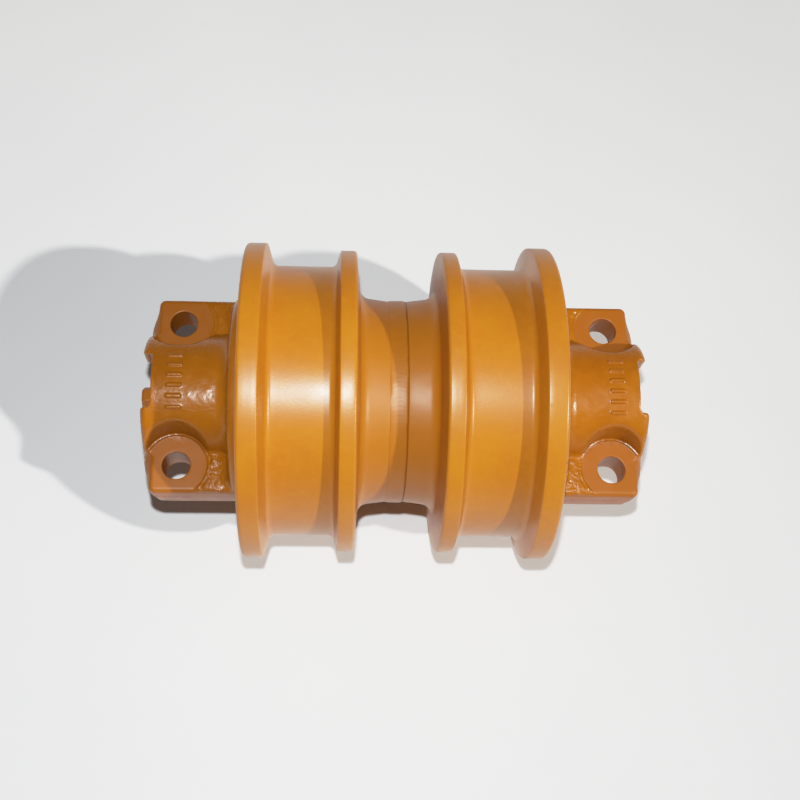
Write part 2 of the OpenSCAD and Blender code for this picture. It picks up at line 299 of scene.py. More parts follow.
def surface_net(field, low, high, cell):
    """Points and quads of the surface where field is 0, one point per cell that the surface crosses."""
    axes = [np.arange(a - 1.5 * cell, b + 2.5 * cell, cell) for a, b in zip(low, high)]
    shape = tuple(len(a) for a in axes)
    values = np.empty(shape, np.float32)
    y, z = np.meshgrid(axes[1], axes[2], indexing="ij")
    slices = 8
    for i in range(0, shape[0], slices):
        x = axes[0][i : i + slices, None, None]
        values[i : i + slices] = field(*np.broadcast_arrays(x, y[None], z[None]))
    inside = values < 0
    corners = [(i, j, k) for i in (0, 1) for j in (0, 1) for k in (0, 1)]
    cells = tuple(n - 1 for n in shape)
    count = np.zeros(cells, np.int8)
    for i, j, k in corners:
        count += inside[i : i + cells[0], j : j + cells[1], k : k + cells[2]]
    active = np.argwhere((count > 0) & (count < len(corners)))
    index = np.full(cells, -1, np.int64)
    index[tuple(active.T)] = np.arange(len(active))
    total = np.zeros((len(active), 3))
    hits = np.zeros(len(active))
    for start in map(np.array, corners):
        for axis in range(3):
            if start[axis]:
                continue
            end = start.copy()
            end[axis] = 1
            va = values[tuple((active + start).T)]
            vb = values[tuple((active + end).T)]
            cross = (va < 0) != (vb < 0)
            t = np.where(cross, va / np.where(cross, va - vb, 1), 0)
            point = active + start + t[:, None] * (end - start)
            total += point * cross[:, None]
            hits += cross
    verts = np.array([a[0] for a in axes]) + total / hits[:, None] * cell
    faces = []
    for axis in range(3):
        u, w = (axis + 1) % 3, (axis + 2) % 3
        first = [slice(1, -1)] * 3
        second = [slice(1, -1)] * 3
        first[axis], second[axis] = slice(0, -1), slice(1, None)
        flips = inside[tuple(first)] != inside[tuple(second)]
        offset = np.array([1, 1, 1])
        offset[axis] = 0
        at = np.argwhere(flips) + offset
        enters = inside[tuple(at.T)]
        step_u, step_w = np.zeros(3, int), np.zeros(3, int)
        step_u[u], step_w[w] = 1, 1
        quad = np.stack(
            [index[tuple((at - s).T)] for s in (0 * step_u, step_u, step_u + step_w, step_w)], 1
        )
        quad[~enters] = quad[~enters][:, ::-1]
        faces.append(quad)
    return verts, np.concatenate(faces)


def gradient(field, p, step=0.05):
    """Direction in which the field grows fastest, at the points p."""
    parts = []
    for axis in range(3):
        shift = np.zeros(3)
        shift[axis] = step
        parts.append(field(*(p + shift).T) - field(*(p - shift).T))
    g = np.stack(parts, 1)
    return g / np.maximum(np.linalg.norm(g, axis=1), 1e-9)[:, None]


def relaxed(field, verts, faces, rounds, cell):
    """Evens the mesh out along the surface and puts its points back on it."""
    near = np.concatenate([faces[:, [i, j]] for i in range(4) for j in (i - 1, (i + 1) % 4)])
    count = np.bincount(near[:, 0], minlength=len(verts))
    for _ in range(rounds):
        sums = [np.bincount(near[:, 0], verts[near[:, 1], k], len(verts)) for k in range(3)]
        middle = np.stack(sums, 1) / count[:, None]
        normal = gradient(field, verts)
        move = middle - verts
        move -= normal * np.sum(move * normal, 1)[:, None]
        verts = verts + 0.5 * move
        for _ in range(2):
            off = np.clip(field(*verts.T), -cell / 2, cell / 2)
            verts = verts - gradient(field, verts) * off[:, None]
    return verts


def finished(piece, triangles):
    """Takes out the points that flat and evenly curved stretches don't need, and keeps the flats flat."""
    piece.data.calc_loop_triangles()
    thin = piece.modifiers.new("thin", "DECIMATE")
    thin.ratio = min(1, triangles / len(piece.data.loop_triangles))
    weighted = piece.modifiers.new("weighted", "WEIGHTED_NORMAL")
    weighted.weight = 100
    evaluated = piece.evaluated_get(bpy.context.evaluated_depsgraph_get())
    mesh = bpy.data.meshes.new_from_object(evaluated)
    piece.modifiers.clear()
    piece.data = mesh
    return piece


def outward(verts, faces):
    """The faces turned so that their normals point out of the solid."""
    a, b, c, d = (verts[faces[:, i]] for i in range(4))
    volume = np.sum(np.cross(b - a, c - a) * a) + np.sum(np.cross(c - a, d - a) * a)
    return faces if volume > 0 else faces[:, ::-1]


# ---------------------------------------------------------------- roller

# A skin's lumps are (height, size) pairs.
SHELL_SEGMENTS = 640
LONGEST_STEP = 4.0
NECK_EDGE_R = 0.4
TURNED_EDGE_R = 1.0
INNER_RIM_EDGE_R = 2.5
OUTER_RIM_EDGE_R = 3.0
SHELL_SEED = 11
KNOCK_SIZE = 2.2
KNOCK_SPACING = 31
KNOCK_REACH = 2.4
KNOCK_DEPTH = 0.3
FORGED_SKIN = ((0.12, 14), (0.05, 5))
TURNED_SKIN = ((0.012, 9),)


def slanted(x, r, to_r, lean):
    """Where a side that leans by that angle reaches another radius."""
    return x + (r - to_r) * math.tan(lean)


def shell_outline():
    """Section of the right-hand shell half: neck, inner flange, tread, outer flange, bores."""
    rim_end = INNER_FLANGE_X + INNER_RIM_W
    outer_rim = rim_end + RAIL_GAP_W
    thrust_x = SEAL_PLANE_X - SEAL_POCKET_L
    slope, lean = math.tan(NECK_SLOPE), math.tan(INNER_SIDE_LEAN)
    rise = INNER_FLANGE_R - NECK_R + WELD_W / 2 * slope
    neck_x = (INNER_FLANGE_X - rise * lean) / (1 - slope * lean)
    return outline(
        [
            (0, OIL_SPACE_R, 0),
            (0, NECK_R - WELD_DEPTH, 0),
            (WELD_W / 2, NECK_R, NECK_EDGE_R),
            (neck_x, NECK_R + (neck_x - WELD_W / 2) * slope, NECK_FILLET),
            (INNER_FLANGE_X, INNER_FLANGE_R, INNER_RIM_EDGE_R),
            (rim_end, INNER_FLANGE_R, TURNED_EDGE_R),
            (slanted(rim_end, INNER_FLANGE_R, TREAD_R, FLANGE_LEAN), TREAD_R, TREAD_FILLET),
            (slanted(outer_rim, OUTER_FLANGE_R, TREAD_R, -FLANGE_LEAN), TREAD_R, TREAD_FILLET),
            (outer_rim, OUTER_FLANGE_R, TURNED_EDGE_R),
            (SHELL_END_X, OUTER_FLANGE_R, OUTER_RIM_EDGE_R),
            (SHELL_END_X, LIP_BORE_R, TURNED_EDGE_R),
            (SEAL_PLANE_X, LIP_BORE_R, 0),
            (SEAL_PLANE_X, SEAL_BORE_R, 0),
            (thrust_x, SEAL_BORE_R, 0),
            (thrust_x, BUSHING_FLANGE_R, 0),
            (thrust_x - BUSHING_FLANGE_T, BUSHING_FLANGE_R, 0),
            (thrust_x - BUSHING_FLANGE_T, BUSHING_R, 0),
            (OIL_SPACE_X, BUSHING_R, 0),
            (OIL_SPACE_X, OIL_SPACE_R, 0),
        ],
        LONGEST_STEP,
    )


def rim_edges():
    """The corners of the flange rims, as (x, radius)."""
    rim_end = INNER_FLANGE_X + INNER_RIM_W
    return [
        (INNER_FLANGE_X, INNER_FLANGE_R),
        (rim_end, INNER_FLANGE_R),
        (rim_end + RAIL_GAP_W, OUTER_FLANGE_R),
        (SHELL_END_X, OUTER_FLANGE_R),
    ]


def shell_half(name, side, material):
    """One half of the roller: forged skin on the neck, turned treads, small knocks on the rims."""
    verts, faces = lathe(shell_outline(), SHELL_SEGMENTS)
    radius = np.hypot(verts[:, 1], verts[:, 2])
    outside = radius > NECK_R - 0.5
    seed = SHELL_SEED + side
    p = verts + 500
    edge = np.min([np.hypot(verts[:, 0] - x, radius - r) for x, r in rim_edges()], axis=0)
    knocks = ramp(lumps(p, KNOCK_SIZE, seed), 0.70, 0.85)
    knocks = knocks * ramp(lumps(p, KNOCK_SPACING, seed + 4), 0.35, 0.6)
    chip = knocks * ramp(edge, KNOCK_REACH, 0.9) * outside
    forged = outside * ramp(verts[:, 0], INNER_FLANGE_X + 2, INNER_FLANGE_X - 8)
    rise = forged * layered(p, FORGED_SKIN, seed + 1)
    rise += outside * layered(p, TURNED_SKIN, seed + 3) * (1 - forged)
    rise -= KNOCK_DEPTH * chip
    scale = 1 + rise / np.maximum(radius, 1)
    verts = verts * np.stack([np.ones_like(scale), scale, scale], 1)
    verts, faces = mirrored(verts, faces, side)
    return mesh_object(name, verts, outward(verts, faces), material, {"chip": chip, "forged": forged})


WELD_SEGMENTS = 900
WELD_STEPS = 44
WELD_GAP = 0.3
WELD_LAP = 0.9
TOE_DEPTH = 0.5
TOE_VARIES = 0.25
RIPPLE_H = 0.012
RIPPLE_PITCH = 3.1
RIPPLE_BOW = 2.6
WELD_SKIN = ((0.16, 12), (0.07, 4.5))


def weld_bead(name, material):
    """The weld that joins the two halves: a low crown with freeze ripples, and an open toe on one side."""
    half = WELD_W / 2
    top = np.linspace(half - WELD_GAP, -half - WELD_LAP, WELD_STEPS)
    crown = weld_high[2] - NECK_R
    profile = [(0, NECK_R - WELD_DEPTH + WELD_GAP)]
    profile += [(x, NECK_R + crown * 0.75 * (1 - (abs(x) / (half + WELD_LAP)) ** 4)) for x in top]
    verts, faces = lathe(np.array(profile), WELD_SEGMENTS)
    angle = np.arctan2(verts[:, 1], verts[:, 2])
    along = angle * NECK_R
    x, radius = verts[:, 0].copy(), np.hypot(verts[:, 1], verts[:, 2])
    surface = radius > NECK_R - 2
    across = x / half
    p = np.stack([x + 40, verts[:, 1] + 300, verts[:, 2] + 300], 1)
    curve = along + RIPPLE_BOW * across**2 + 0.8 * lumps(p, 7, 31)
    ripple = RIPPLE_H * np.sin(curve * 2 * math.pi / RIPPLE_PITCH)
    uneven = layered(p, WELD_SKIN, 32)
    toe = ramp(x, half - 1.9, half - 0.5)
    skirt = ramp(x, -half + 0.6, -half - 0.8)
    groove = TOE_DEPTH + TOE_VARIES * lumps(p, 16, 35)
    rise = ripple * (1 - toe) * (1 - skirt) + uneven * (1 - skirt) - groove * toe - 0.05 * skirt
    radius = radius + surface * np.clip(rise, -1.2, crown * 0.25)
    x = x + surface * 0.45 * lumps(p, 6, 34) * (np.abs(across) > 0.6)
    verts = np.stack([x, radius * np.sin(angle), radius * np.cos(angle)], 1)
    seam = surface * np.maximum(toe * 0.7, skirt * 0.3)
    return mesh_object(name, verts, outward(verts, faces), material, {"chip": 0 * x, "forged": 1 + seam})


# ---------------------------------------------------------------- collars

# The foot is the half of a collar below the shaft's middle, which carries the mounting faces.
FOOT_FILLET = 2.0
FOOT_EDGE_R = 1.0
DRAFT = 0.05
SHELF_START_Z = 4
RING_EDGE_R = 0.5
RING_BEVEL_R = 3.0
RING_FILLET_W = 7
LEAST_FILLET = 0.3
RING_FACE_EDGE_R = 0.8
NOSE_EDGE_R = 1.0
LIP_EDGE_R = 0.6
LIP_SETBACK = 1
POCKET_EDGE_R = 2.6
POCKET_FLARE = 0.1
POCKET_CLEARANCE = 0.2
SEAT_EDGE_R = 0.35
HOLE_EDGE_R = 0.45
SLOT_CORNER_R = 2.5
SLOT_EDGE_R = 1.0
SLOT_RIM_EDGE_R = 1.8
BORE_EDGE_R = 0.9
PIN_CLEARANCE = 0.02
PIN_EDGE_R = 0.6
GROOVE_CLEARANCE = 0.4
COLLAR_SEED = 50
COLLAR_CELL = 0.75
COLLAR_TRIANGLES = 180000
CAST_SKIN = ((0.14, 11), (0.10, 4.2), (0.05, 1.9))
LUMPY_SKIN = ((0.26, 3.0), (0.42, 1.8))
LUMPY_DROP = 0.05
# The rough patch fades in from the first to the second of each pair.
ROUGH_START_X = (124.5, 128)
ROUGH_END_X = (149, 143)
ROUGH_START_Y = (47, 50)
ROUGH_START_Z = (10, 12.5)
BACK_WING_ROUGHNESS = 0.4
HIGHEST_LUMP = 0.5
# Painted shade: how far out from the surface a collar is probed for walls that enclose it.
CREVICE_SHADE_REACH = 5

# Raised bars and parting line on top of the hub
BARS = 6
BAR_X = 161.5
BAR_L = 11.0
BAR_W = 2.4
BAR_H = 1.1
BAR_FIRST = math.radians(-22)
BAR_PITCH = math.radians(9.6)
BAR_CORNER_R = 1.0
BAR_EDGE_R = 0.4
BAR_FILLET = 0.7
RIDGE_ANGLE = math.radians(29)
RIDGE_START_X = 127
RIDGE_SETBACK = 3
RIDGE_FILLET = 0.9
RIDGE_WANDER = 0.02
RIDGE_WAVE = 3.7


def wing_end(side_y, z):
    """X of a collar's outer end: the hub's rim in the middle, flaring in to the bolt wings."""
    flare = ramp(side_y, FLARE_Y, HUB_R + 2)
    shelf = ramp(side_y, HUB_R - 5, HUB_R + 1) * ramp(z, SHELF_START_Z, SEAT_Z)
    return WING_END_X + (RIM_END_X - WING_END_X) * flare * (1 - shelf)


def relief(x, y, z):
    """A row of plain raised bars on the top of the hub."""
    around = np.arctan2(-y, z)
    row = np.clip(np.round((around - BAR_FIRST) / BAR_PITCH), 0, BARS - 1)
    across = np.abs(around - BAR_FIRST - row * BAR_PITCH) * HUB_R - BAR_W / 2
    along = np.abs(x - BAR_X) - BAR_L / 2
    height = np.hypot(y, z) - HUB_R - BAR_H
    return common(common(across, along, BAR_CORNER_R), height, BAR_EDGE_R)


def seat_cut(x, y, z):
    """The machined seat of a mounting bolt, open over the outer corner of its wing."""
    disc = np.hypot(x - HOLE_X, y - HOLE_Y) - SEAT_R
    corner = np.maximum(HOLE_X - x, HOLE_Y - y)
    return np.maximum(np.minimum(disc, corner), between(z, SEAT_Z, HUB_R + 5))


def pocket_cut(x, y, z):
    """The cast pocket above a bolt seat, which flares into the side of the hub."""
    flare = POCKET_FLARE * np.maximum(z - SEAT_Z, 0)
    wall = np.hypot(x - HOLE_X, y - HOLE_Y) - SEAT_R - SEAT_LEDGE - flare
    return np.maximum(wall, WING_TOP_Z + POCKET_CLEARANCE - z)


def ridge(x, y, z):
    """The thin parting line of the casting, which wanders along the top of the hub."""
    wander = RIDGE_ANGLE + RIDGE_WANDER * np.sin(x / RIDGE_WAVE)
    line = np.hypot((np.arctan2(-y, z) - wander) * HUB_R, np.hypot(y, z) - HUB_R) + 0.3
    return np.maximum(line, between(x, RIDGE_START_X, HUB_END_X - RIDGE_SETBACK))


def guard_ring(x, radius):
    """The ring that covers the end of the roller, with a bevelled outer edge."""
    ring_end = GUARD_RING_X + GUARD_RING_T
    bevel = (radius - GUARD_RING_R + x - ring_end + RING_BEVEL) / math.sqrt(2)
    return common(common(radius - GUARD_RING_R, x - ring_end, RING_EDGE_R), bevel, RING_BEVEL_R)


def pin_hole(x, y, z):
    """The hole of the lock pin, which comes in from below."""
    pin_r = (pin_high[0] - pin_low[0]) / 2
    return np.maximum(np.hypot(x - (pin_low[0] + pin_high[0]) / 2, y) - pin_r - PIN_CLEARANCE, z)


def collar_field(x, y, z):
    """Signed distance to a right-hand collar."""
    radius = np.hypot(y, z)
    side_y = np.abs(y)
    low = z < 0
    slab = np.where(low, MOUNT_FACE_Z - z, z - WING_TOP_Z)
    body = union(radius - HUB_R, slab, np.where(low, FOOT_FILLET, HUB_FILLET))
    draft = DRAFT * np.minimum(np.abs(z), WING_TOP_Z)
    corner = CORNER_R + (FOOT_CORNER_R - CORNER_R) * ramp(z, WING_TOP_Z, MOUNT_FACE_Z)
    outer_end = x - wing_end(side_y, z) + draft * (side_y > HUB_R)
    plan = common(side_y - WING_HALF_W + draft, outer_end, corner)
    body = common(body, plan, np.where(low, FOOT_EDGE_R, CAST_EDGE_R))
    fillet = RING_FILLET * ramp(radius, GUARD_RING_R, GUARD_RING_R - RING_FILLET_W) + LEAST_FILLET
    body = union(body, guard_ring(x, radius), fillet)
    body = common(body, GUARD_RING_X - x, RING_FACE_EDGE_R)
    pocket_floor = SEAL_PLANE_X + SEAL_POCKET_L
    annulus = between(radius, NOSE_R, SEAL_BORE_R)
    body = np.maximum(body, -np.maximum(annulus, x - pocket_floor))
    nose = common(common(radius - NOSE_R, NOSE_X - x, NOSE_EDGE_R), x - pocket_floor, 0.1)
    lip_length = between(x, SEAL_PLANE_X + LIP_SETBACK, pocket_floor)
    lip = common(between(radius, SEAL_BORE_R, SEAL_LIP_R), lip_length, LIP_EDGE_R)
    body = np.minimum(body, np.minimum(nose, lip))
    body = union(body, ridge(x, y, z), RIDGE_FILLET)
    body = union(body, relief(x, y, z), BAR_FILLET)
    body = less(body, pocket_cut(x, side_y, z), POCKET_EDGE_R)
    body = less(body, seat_cut(x, side_y, z), SEAT_EDGE_R)
    hole = np.hypot(x - HOLE_X, side_y - HOLE_Y) - HOLE_R
    body = less(body, hole, HOLE_EDGE_R)
    slot = common(side_y - SLOT_W / 2, HUB_END_X - x, SLOT_CORNER_R)
    body = less(body, slot, SLOT_EDGE_R + SLOT_RIM_EDGE_R * ramp(x, HUB_END_X + 0.5, HUB_END_X + 2.5))
    body = less(body, radius - BORE_R, BORE_EDGE_R)
    groove_length = between(x, o_ring_low[0] - GROOVE_CLEARANCE, o_ring_high[0] + GROOVE_CLEARANCE)
    body = np.maximum(body, -np.maximum(radius - o_ring_high[2], groove_length))
    return less(body, pin_hole(x, y, z), PIN_EDGE_R)


def machined(p):
    """1 on a collar's machined faces and 0 on its cast skin."""
    x, y, z = p.T
    side_y, radius = np.abs(y), np.hypot(y, z)
    seat = ramp(np.hypot(x - HOLE_X, side_y - HOLE_Y), SEAT_R + 0.6, SEAT_R - 0.2)
    seat = np.maximum(seat, (x > HOLE_X) & (side_y > HOLE_Y)) * ramp(z, SEAT_Z + 0.7, SEAT_Z + 0.2)
    faces = [
        seat * (z > 0),
        ramp(z, MOUNT_FACE_Z + 0.5, MOUNT_FACE_Z + 0.1) * (side_y > HUB_R - 4),
        ramp(np.hypot(x - HOLE_X, side_y - HOLE_Y), HOLE_R + 1.0, HOLE_R + 0.4),
        ramp(x, GUARD_RING_X + 0.8, GUARD_RING_X + 0.2),
        ramp(radius, GUARD_RING_R - 1.2, GUARD_RING_R - 0.4),
        ramp(radius, BORE_R + 1.2, BORE_R + 0.5),
        ramp(x, RIM_END_X - 0.6, RIM_END_X - 0.1),
    ]
    return np.max([np.asarray(f, float) for f in faces], axis=0)


def rough_patch(p):
    """1 on the lumpy cast skin of the wings beside the guard ring, fading out round it."""
    x, y, z = p.T
    along = ramp(x, *ROUGH_END_X) * ramp(x, *ROUGH_START_X)
    patch = along * ramp(np.abs(y), *ROUGH_START_Y) * ramp(z, *ROUGH_START_Z)
    return patch * np.where(y > 0, BACK_WING_ROUGHNESS, 1.0)


def collar(name, side, material):
    """One cast collar, with its mounting wings, seal lip and guard ring."""
    low = (NOSE_X, -GUARD_RING_R, -GUARD_RING_R)
    high = (RIM_END_X, GUARD_RING_R, GUARD_RING_R)
    verts, faces = surface_net(collar_field, low, high, COLLAR_CELL)
    verts = relaxed(collar_field, verts, faces, RELAX_ROUNDS, COLLAR_CELL)
    seed = COLLAR_SEED + 7 * side
    p = verts + 400
    cut = machined(verts)
    rough = rough_patch(verts) * (1 - cut)
    normal = gradient(collar_field, verts, 0.3)
    skin = layered(p, CAST_SKIN, seed)
    lumpy = layered(p, LUMPY_SKIN, seed + 3) - LUMPY_DROP
    rise = np.minimum((1 - cut) * skin + rough * lumpy, HIGHEST_LUMP)
    # Painted shade: how closely walls enclose each point, used to darken the paint in hollows and
    # crevices.
    hollow = np.clip(1 - collar_field(*(verts + CREVICE_SHADE_REACH * normal).T) / CREVICE_SHADE_REACH, 0, 1)
    verts = verts + normal * rise[:, None]
    verts[:, 0] = np.minimum(verts[:, 0], RIM_END_X)
    verts[:, 1:] *= np.minimum(1, GUARD_RING_R / np.maximum(np.hypot(*verts.T[1:]), 1))[:, None]
    verts, faces = mirrored(verts, faces, side)
    marks = {"cut": cut, "rough": rough, "hollow": hollow}
    return finished(mesh_object(name, verts, faces, material, marks), COLLAR_TRIANGLES)


# ---------------------------------------------------------------- oil plug

PLUG_FLANGE_R = 10.5
PLUG_FLANGE_T = 2.0
PLUG_WASHER_T = 1.5
PLUG_SHANK_R = 7.98
PLUG_HEAD_W = 15.4
PLUG_HEAD_EDGE_R = 2.0
PLUG_EDGE_R = 0.5
PLUG_FILLET = 1.0
PLUG_CELL = 0.45
PLUG_TRIANGLES = 60000
PLUG_SKIN = ((0.08, 3.1), (0.04, 1.2))
HIGHEST_PLUG_LUMP = 0.02


def plug_field(x, y, z):
    """Signed distance to the oil plug, drawn at the right-hand end."""
    start, seat, end = -plug_high[0], SHAFT_END_X + PLUG_WASHER_T, -plug_low[0]
    radius = np.hypot(y, z)
    turns = np.radians((0, 60, 120))
    flats = [np.abs(z * math.cos(a) + y * math.sin(a)) - PLUG_HEAD_W / 2 for a in turns]
    sides = common(common(flats[0], flats[1], PLUG_EDGE_R), flats[2], PLUG_EDGE_R)
    head = np.maximum(common(sides, x - end, PLUG_HEAD_EDGE_R), seat - x)
    flange = common(common(radius - PLUG_FLANGE_R, x - seat - PLUG_FLANGE_T, 0.6), seat - x, 0.3)
    shank = common(radius - PLUG_SHANK_R, between(x, start, seat + 1), PLUG_EDGE_R)
    return np.minimum(union(head, flange, PLUG_FILLET), shank)


def oil_plug(name, material):
    """The hexagon-headed plug of the oil passage, in the left-hand end."""
    low = (-plug_high[0], -PLUG_FLANGE_R, -PLUG_FLANGE_R)
    high = (-plug_low[0], PLUG_FLANGE_R, PLUG_FLANGE_R)
    verts, faces = surface_net(plug_field, low, high, PLUG_CELL)
    verts = relaxed(plug_field, verts, faces, RELAX_ROUNDS, PLUG_CELL)
    p = verts + 200
    shown = verts[:, 0] > SHAFT_END_X + PLUG_WASHER_T + 0.2
    rise = shown * np.minimum(layered(p, PLUG_SKIN, 71), HIGHEST_PLUG_LUMP)
    verts = verts + gradient(plug_field, verts, 0.2) * rise[:, None]
    verts[:, 0] = np.clip(verts[:, 0], -plug_high[0], -plug_low[0])
    verts, faces = mirrored(verts, faces, LEFT)
    none = np.zeros(len(verts))
    marks = {"cut": none + 0.5, "rough": none, "hollow": none}
    return finished(mesh_object(name, verts, faces, material, marks), PLUG_TRIANGLES)


# ---------------------------------------------------------------- materials


def new_material(name):
    """An empty node material with a Principled shader, as (material, node tree, shader)."""
    material = bpy.data.materials.new(name)
    material.use_nodes = True
    tree = material.node_tree
    return material, tree, tree.nodes["Principled BSDF"]


def add(tree, kind, inputs=None, **settings):
    """A node with its settings, and its inputs set to values or linked to sockets."""
    made = tree.nodes.new("ShaderNode" + kind)
    for key, value in settings.items():
        setattr(made, key, value)
    for key, value in (inputs or {}).items():
        if isinstance(value, bpy.types.NodeSocket):
            tree.links.new(value, made.inputs[key])
        else:
            made.inputs[key].default_value = value
    return made


def noise(tree, place, scale, detail=3.0, roughness=0.5, distortion=0.0):
    """The strength of a noise texture, about 0 to 1."""
    inputs = {
        "Vector": place,
        "Scale": scale,
        "Detail": detail,
        "Roughness": roughness,
        "Distortion": distortion,
    }
    return add(tree, "TexNoise", inputs).outputs["Fac"]


def maths(tree, operation, a, b=0.0, c=0.0):
    """One arithmetic node."""
    made = add(tree, "Math", operation=operation)
    for i, value in enumerate((a, b, c)):
        if isinstance(value, bpy.types.NodeSocket):
            tree.links.new(value, made.inputs[i])
        else:
            made.inputs[i].default_value = value
    return made.outputs[0]


def stretch(tree, value, low, high, to_low=0.0, to_high=1.0):
    """value from low..high mapped to to_low..to_high, held at the ends."""
    inputs = {"Value": value, "From Min": low, "From Max": high, "To Min": to_low, "To Max": to_high}
    return add(tree, "MapRange", inputs).outputs["Result"]


def blend(tree, share, a, b):
    """Colour a where share is 0 and b where it is 1."""
    made = add(tree, "Mix", data_type="RGBA")
    for socket, value in ((0, share), (6, a), (7, b)):
        if isinstance(value, bpy.types.NodeSocket):
            tree.links.new(value, made.inputs[socket])
        else:
            made.inputs[socket].default_value = value
    return made.outputs[2]


def attribute(tree, name):
    """A number stored at the mesh's points."""
    return add(tree, "Attribute", attribute_name=name).outputs["Fac"]


def colour(red, green, blue):
    """Display colour from 0 to 255 as the linear colour that shaders take."""
    shown = [v / 255 for v in (red, green, blue)]
    return (*[((v + 0.055) / 1.055) ** 2.4 if v > 0.04045 else v / 12.92 for v in shown], 1.0)


def bump(tree, height, strength, distance, below=None):
    """A bump node, on top of another one."""
    inputs = {"Height": height, "Strength": strength, "Distance": distance}
    if below is not None:
        inputs["Normal"] = below
    return add(tree, "Bump", inputs).outputs["Normal"]


def roller_paint():
    """Semi-gloss enamel of the roller: soft mottling, fine orange peel, a few specks and knocked edges."""
    material, tree, shader = new_material("roller_enamel")
    place = add(tree, "TexCoord").outputs["Object"]
    cloud = noise(tree, place, 22, 4)
    streak = noise(tree, place, 160, 3, 0.6)
    grain = noise(tree, place, 1500, 2)
    speck = noise(tree, place, 520, 1, 0.4)
    base = blend(tree, stretch(tree, cloud, 0.35, 0.65), colour(185, 114, 22), colour(178, 106, 18))
    base = blend(tree, stretch(tree, streak, 0.45, 0.75, 0, 0.35), base, colour(192, 123, 30))
    base = blend(tree, stretch(tree, speck, 0.84, 0.88, 0, 0.5), base, colour(110, 60, 20))
    chip = stretch(tree, attribute(tree, "chip"), 0.35, 0.6)
    base = blend(tree, chip, base, colour(92, 58, 34))
    forged = attribute(tree, "forged")
    base = blend(tree, stretch(tree, forged, 0.0, 1.0, 0.0, 0.8), base, colour(168, 102, 18))
    base = blend(tree, stretch(tree, forged, 1.1, 1.7), base, colour(145, 80, 16))
    gloss = stretch(tree, cloud, 0.3, 0.7, 0.30, 0.38)
    gloss = maths(tree, "ADD", gloss, stretch(tree, grain, 0.3, 0.7, -0.03, 0.03))
    gloss = maths(tree, "ADD", gloss, stretch(tree, forged, 0.0, 1.0, 0.0, 0.10))
    gloss = maths(tree, "MAXIMUM", gloss, maths(tree, "MULTIPLY", chip, 0.6))
    tree.links.new(base, shader.inputs["Base Color"])
    tree.links.new(gloss, shader.inputs["Roughness"])
    peel = bump(tree, noise(tree, place, 620, 2), 0.10, 0.0004)
    peel = bump(tree, grain, 0.08, 0.0001, peel)
    tree.links.new(peel, shader.inputs["Normal"])
    shader.inputs["Specular IOR Level"].default_value = 0.5
    return material


def parting_rust(tree, place):
    """Thin reddish patches where a casting's parting line runs along the sides of its wings."""
    at = add(tree, "SeparateXYZ", {0: place}).outputs
    line = stretch(tree, maths(tree, "ABSOLUTE", at["Z"]), 1.2 * MM, 4.2 * MM, 0.95, 0.0)
    side = maths(tree, "GREATER_THAN", maths(tree, "ABSOLUTE", at["Y"]), (WING_HALF_W - 2) * MM)
    thin = stretch(tree, noise(tree, place, 130, 3, 0.6, 0.5), 0.44, 0.58)
    return maths(tree, "MULTIPLY", maths(tree, "MULTIPLY", line, side), thin)


def collar_paint():
    """The same enamel over cast skin, with painted shade browning it in hollows and crevices; glossy and
    pitted where the casting is rough.
    """
    material, tree, shader = new_material("collar_enamel")
    place = add(tree, "TexCoord").outputs["Object"]
    cut, rough, hollow = (attribute(tree, n) for n in ("cut", "rough", "hollow"))
    cloud = noise(tree, place, 30, 4)
    sag = noise(tree, place, 95, 3, 0.55, 0.6)
    grain = noise(tree, place, 900, 3, 0.6)
    base = blend(tree, stretch(tree, cloud, 0.35, 0.65), colour(166, 97, 9), colour(156, 89, 7))
    base = blend(tree, stretch(tree, sag, 0.5, 0.8, 0, 0.4), base, colour(176, 107, 16))
    base = blend(tree, cut, base, colour(158, 89, 8))
    # Painted shade: the paint turns dark brown in hollows and crevices, where shade falls.
    base = blend(tree, stretch(tree, hollow, 0.15, 0.9, 0, 0.55), base, colour(104, 50, 8))
    base = blend(tree, stretch(tree, grain, 0.70, 0.78, 0, 0.5), base, colour(112, 58, 18))
    base = blend(tree, parting_rust(tree, place), base, colour(150, 46, 14))
    tree.links.new(base, shader.inputs["Base Color"])
    gloss = stretch(tree, sag, 0.3, 0.7, 0.24, 0.35)
    gloss = maths(tree, "MULTIPLY_ADD", rough, -0.12, gloss)
    tree.links.new(maths(tree, "MULTIPLY_ADD", cut, 0.14, gloss), shader.inputs["Roughness"])
    cast = maths(tree, "MULTIPLY_ADD", cut, -0.8, 1.0)
    lumpy = maths(tree, "MULTIPLY", cast, noise(tree, place, 240, 3, 0.55))
    skin = bump(tree, lumpy, 0.35, 0.0006)
    skin = bump(tree, maths(tree, "MULTIPLY", cast, grain), 0.20, 0.0002, skin)
    scale = maths(tree, "MULTIPLY", rough, noise(tree, place, 520, 2, 0.6, 0.4))
    skin = bump(tree, scale, 0.9, 0.0009, skin)
    tree.links.new(skin, shader.inputs["Normal"])
    shader.inputs["Specular IOR Level"].default_value = 0.5
    return material


